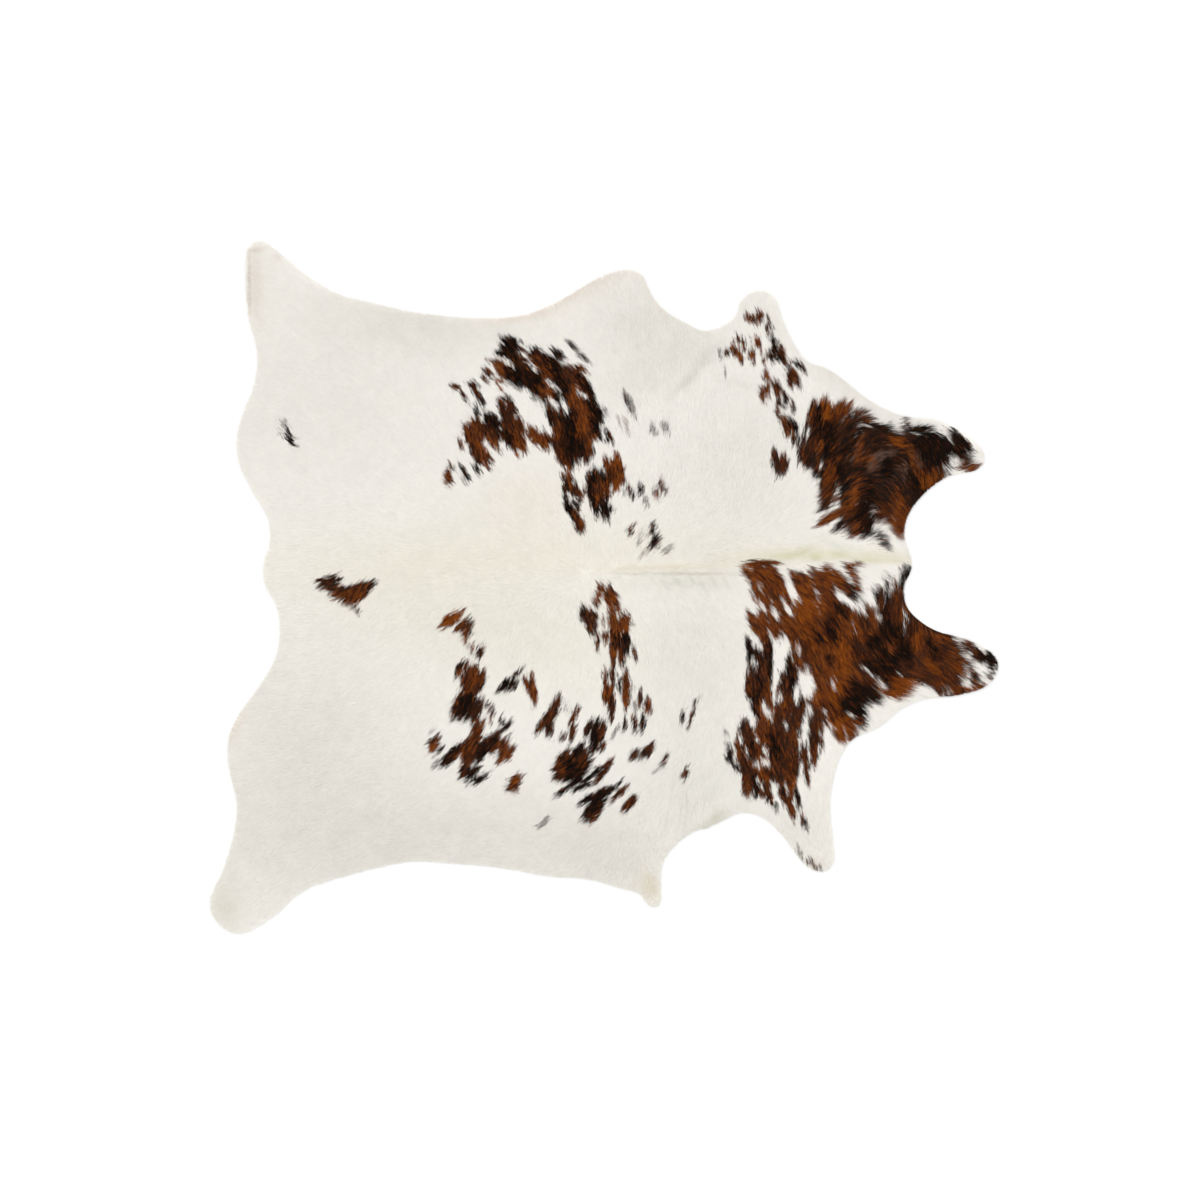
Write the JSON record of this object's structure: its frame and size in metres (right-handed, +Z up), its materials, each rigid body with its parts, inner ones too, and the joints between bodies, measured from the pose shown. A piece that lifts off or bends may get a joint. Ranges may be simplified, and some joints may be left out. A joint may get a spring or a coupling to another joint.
{
  "type": "cowhide rug",
  "caption": "Whole hair-on cowhide laid flat as a floor rug: leg lobes at the corners, a notched neck end, dark brindle patches on a white coat.",
  "frame": {"origin": "middle of the bounding box, on the flat underside, at the surface that the rug lies on", "axes": "+X along the spine from the rump to the neck, +Y to the upper flank of the picture, +Z up from the flesh side through the hair"},
  "size_m": [2.2, 1.9324, 0.0083],
  "materials": {
    "hair": "satin",
    "suede": "matte"
  },
  "bodies": {
    "root": {"hide": "hair"}
  },
  "joints": []
}
